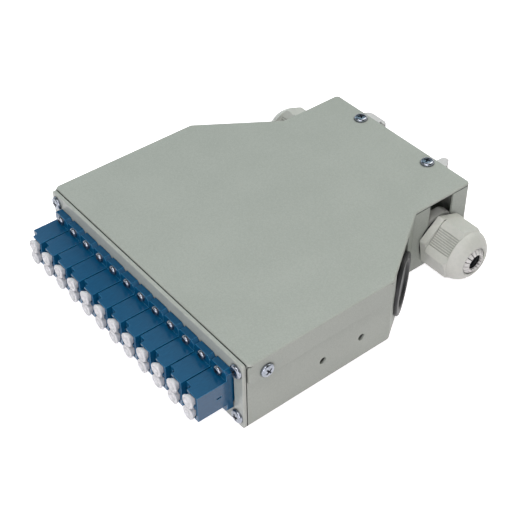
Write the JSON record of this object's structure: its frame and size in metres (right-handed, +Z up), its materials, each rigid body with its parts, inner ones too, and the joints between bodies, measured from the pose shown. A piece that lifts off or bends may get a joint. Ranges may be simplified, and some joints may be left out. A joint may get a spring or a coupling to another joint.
{
  "type": "din rail fibre box",
  "caption": "Folded-steel fibre distribution box with a front row of duplex adapters, side cable glands and grommets, and a spring-latched clip for a 35 mm rail.",
  "frame": {"origin": "centre of the housing's underside", "axes": "+Z up out of the lid, +Y from the adapters to the rail, +X to the right seen from the front"},
  "size_m": [0.137, 0.1679, 0.0358],
  "materials": {
    "powder_coat": "fine orange peel powder coat on folded sheet steel",
    "zinc": "bright zinc plate",
    "ceramic": "polished zirconia",
    "cap_plastic": "translucent white polyethylene",
    "adapter_plastic": "satin moulded",
    "gland_polyamide": "satin moulded polyamide",
    "black_rubber": "matt",
    "clip_plastic": "moulded",
    "holder_plastic": "moulded",
    "spring_steel": "bright"
  },
  "bodies": {
    "housing": {"chassis": "powder_coat", "adapter_plate": "powder_coat", "plate_screws": "zinc", "adapter_01": "adapter_plastic", "adapter_02": "adapter_plastic", "adapter_03": "adapter_plastic", "adapter_04": "adapter_plastic", "adapter_05": "adapter_plastic", "adapter_06": "adapter_plastic", "adapter_07": "adapter_plastic", "adapter_08": "adapter_plastic", "adapter_09": "adapter_plastic", "adapter_10": "adapter_plastic", "adapter_11": "adapter_plastic", "adapter_12": "adapter_plastic", "alignment_sleeves": "ceramic", "adapter_screws": "zinc", "inner_dust_caps": "cap_plastic", "right_gland_body": "gland_polyamide", "right_gland_washer": "black_rubber", "right_gland_locknut": "gland_polyamide", "right_gland_basket": "gland_polyamide", "right_gland_seal": "black_rubber", "left_gland_body": "gland_polyamide", "left_gland_washer": "black_rubber", "left_gland_locknut": "gland_polyamide", "left_gland_basket": "gland_polyamide", "left_gland_seal": "black_rubber", "right_grommet": "black_rubber", "left_grommet": "black_rubber", "rail_clip": "clip_plastic", "latch_spring": "spring_steel", "clip_screws": "zinc", "clip_nuts": "zinc", "splice_holder": "holder_plastic", "holder_screws": "zinc"},
    "lid": {"cover": "powder_coat", "cover_side_screws": "zinc", "cover_side_nuts": "zinc", "cover_rear_screws": "zinc"},
    "right_nut": {"right_gland_nut": "gland_polyamide"},
    "left_nut": {"left_gland_nut": "gland_polyamide"},
    "latch": {"rail_latch": "clip_plastic"},
    "cap_01": {"dust_cap_01": "cap_plastic"},
    "cap_02": {"dust_cap_02": "cap_plastic"},
    "cap_03": {"dust_cap_03": "cap_plastic"},
    "cap_04": {"dust_cap_04": "cap_plastic"},
    "cap_05": {"dust_cap_05": "cap_plastic"},
    "cap_06": {"dust_cap_06": "cap_plastic"},
    "cap_07": {"dust_cap_07": "cap_plastic"},
    "cap_08": {"dust_cap_08": "cap_plastic"},
    "cap_09": {"dust_cap_09": "cap_plastic"},
    "cap_10": {"dust_cap_10": "cap_plastic"},
    "cap_11": {"dust_cap_11": "cap_plastic"},
    "cap_12": {"dust_cap_12": "cap_plastic"}
  },
  "joints": [
    {"name": "lid_lift", "type": "slide", "parent": "housing", "child": "lid", "axis": [0, 0, 1], "range_m": [0, 0.045]},
    {"name": "right_nut_turn", "type": "hinge", "parent": "housing", "child": "right_nut", "pos_m": [0.04255, 0.0532, 0.013], "axis": [1, 0, 0], "continuous": true},
    {"name": "left_nut_turn", "type": "hinge", "parent": "housing", "child": "left_nut", "pos_m": [-0.04255, 0.0532, 0.013], "axis": [-1, 0, 0], "continuous": true},
    {"name": "latch_pull", "type": "slide", "parent": "housing", "child": "latch", "axis": [1, 0, 0], "range_m": [0, 0.004], "stiffness_N_per_m": 2500, "springref_m": -0.002, "deforming": ["latch_spring"]},
    {"name": "cap_01_pull", "type": "slide", "parent": "housing", "child": "cap_01", "axis": [0, -1, 0], "range_m": [0, 0.012]},
    {"name": "cap_02_pull", "type": "slide", "parent": "housing", "child": "cap_02", "axis": [0, -1, 0], "range_m": [0, 0.012]},
    {"name": "cap_03_pull", "type": "slide", "parent": "housing", "child": "cap_03", "axis": [0, -1, 0], "range_m": [0, 0.012]},
    {"name": "cap_04_pull", "type": "slide", "parent": "housing", "child": "cap_04", "axis": [0, -1, 0], "range_m": [0, 0.012]},
    {"name": "cap_05_pull", "type": "slide", "parent": "housing", "child": "cap_05", "axis": [0, -1, 0], "range_m": [0, 0.012]},
    {"name": "cap_06_pull", "type": "slide", "parent": "housing", "child": "cap_06", "axis": [0, -1, 0], "range_m": [0, 0.012]},
    {"name": "cap_07_pull", "type": "slide", "parent": "housing", "child": "cap_07", "axis": [0, -1, 0], "range_m": [0, 0.012]},
    {"name": "cap_08_pull", "type": "slide", "parent": "housing", "child": "cap_08", "axis": [0, -1, 0], "range_m": [0, 0.012]},
    {"name": "cap_09_pull", "type": "slide", "parent": "housing", "child": "cap_09", "axis": [0, -1, 0], "range_m": [0, 0.012]},
    {"name": "cap_10_pull", "type": "slide", "parent": "housing", "child": "cap_10", "axis": [0, -1, 0], "range_m": [0, 0.012]},
    {"name": "cap_11_pull", "type": "slide", "parent": "housing", "child": "cap_11", "axis": [0, -1, 0], "range_m": [0, 0.012]},
    {"name": "cap_12_pull", "type": "slide", "parent": "housing", "child": "cap_12", "axis": [0, -1, 0], "range_m": [0, 0.012]}
  ]
}
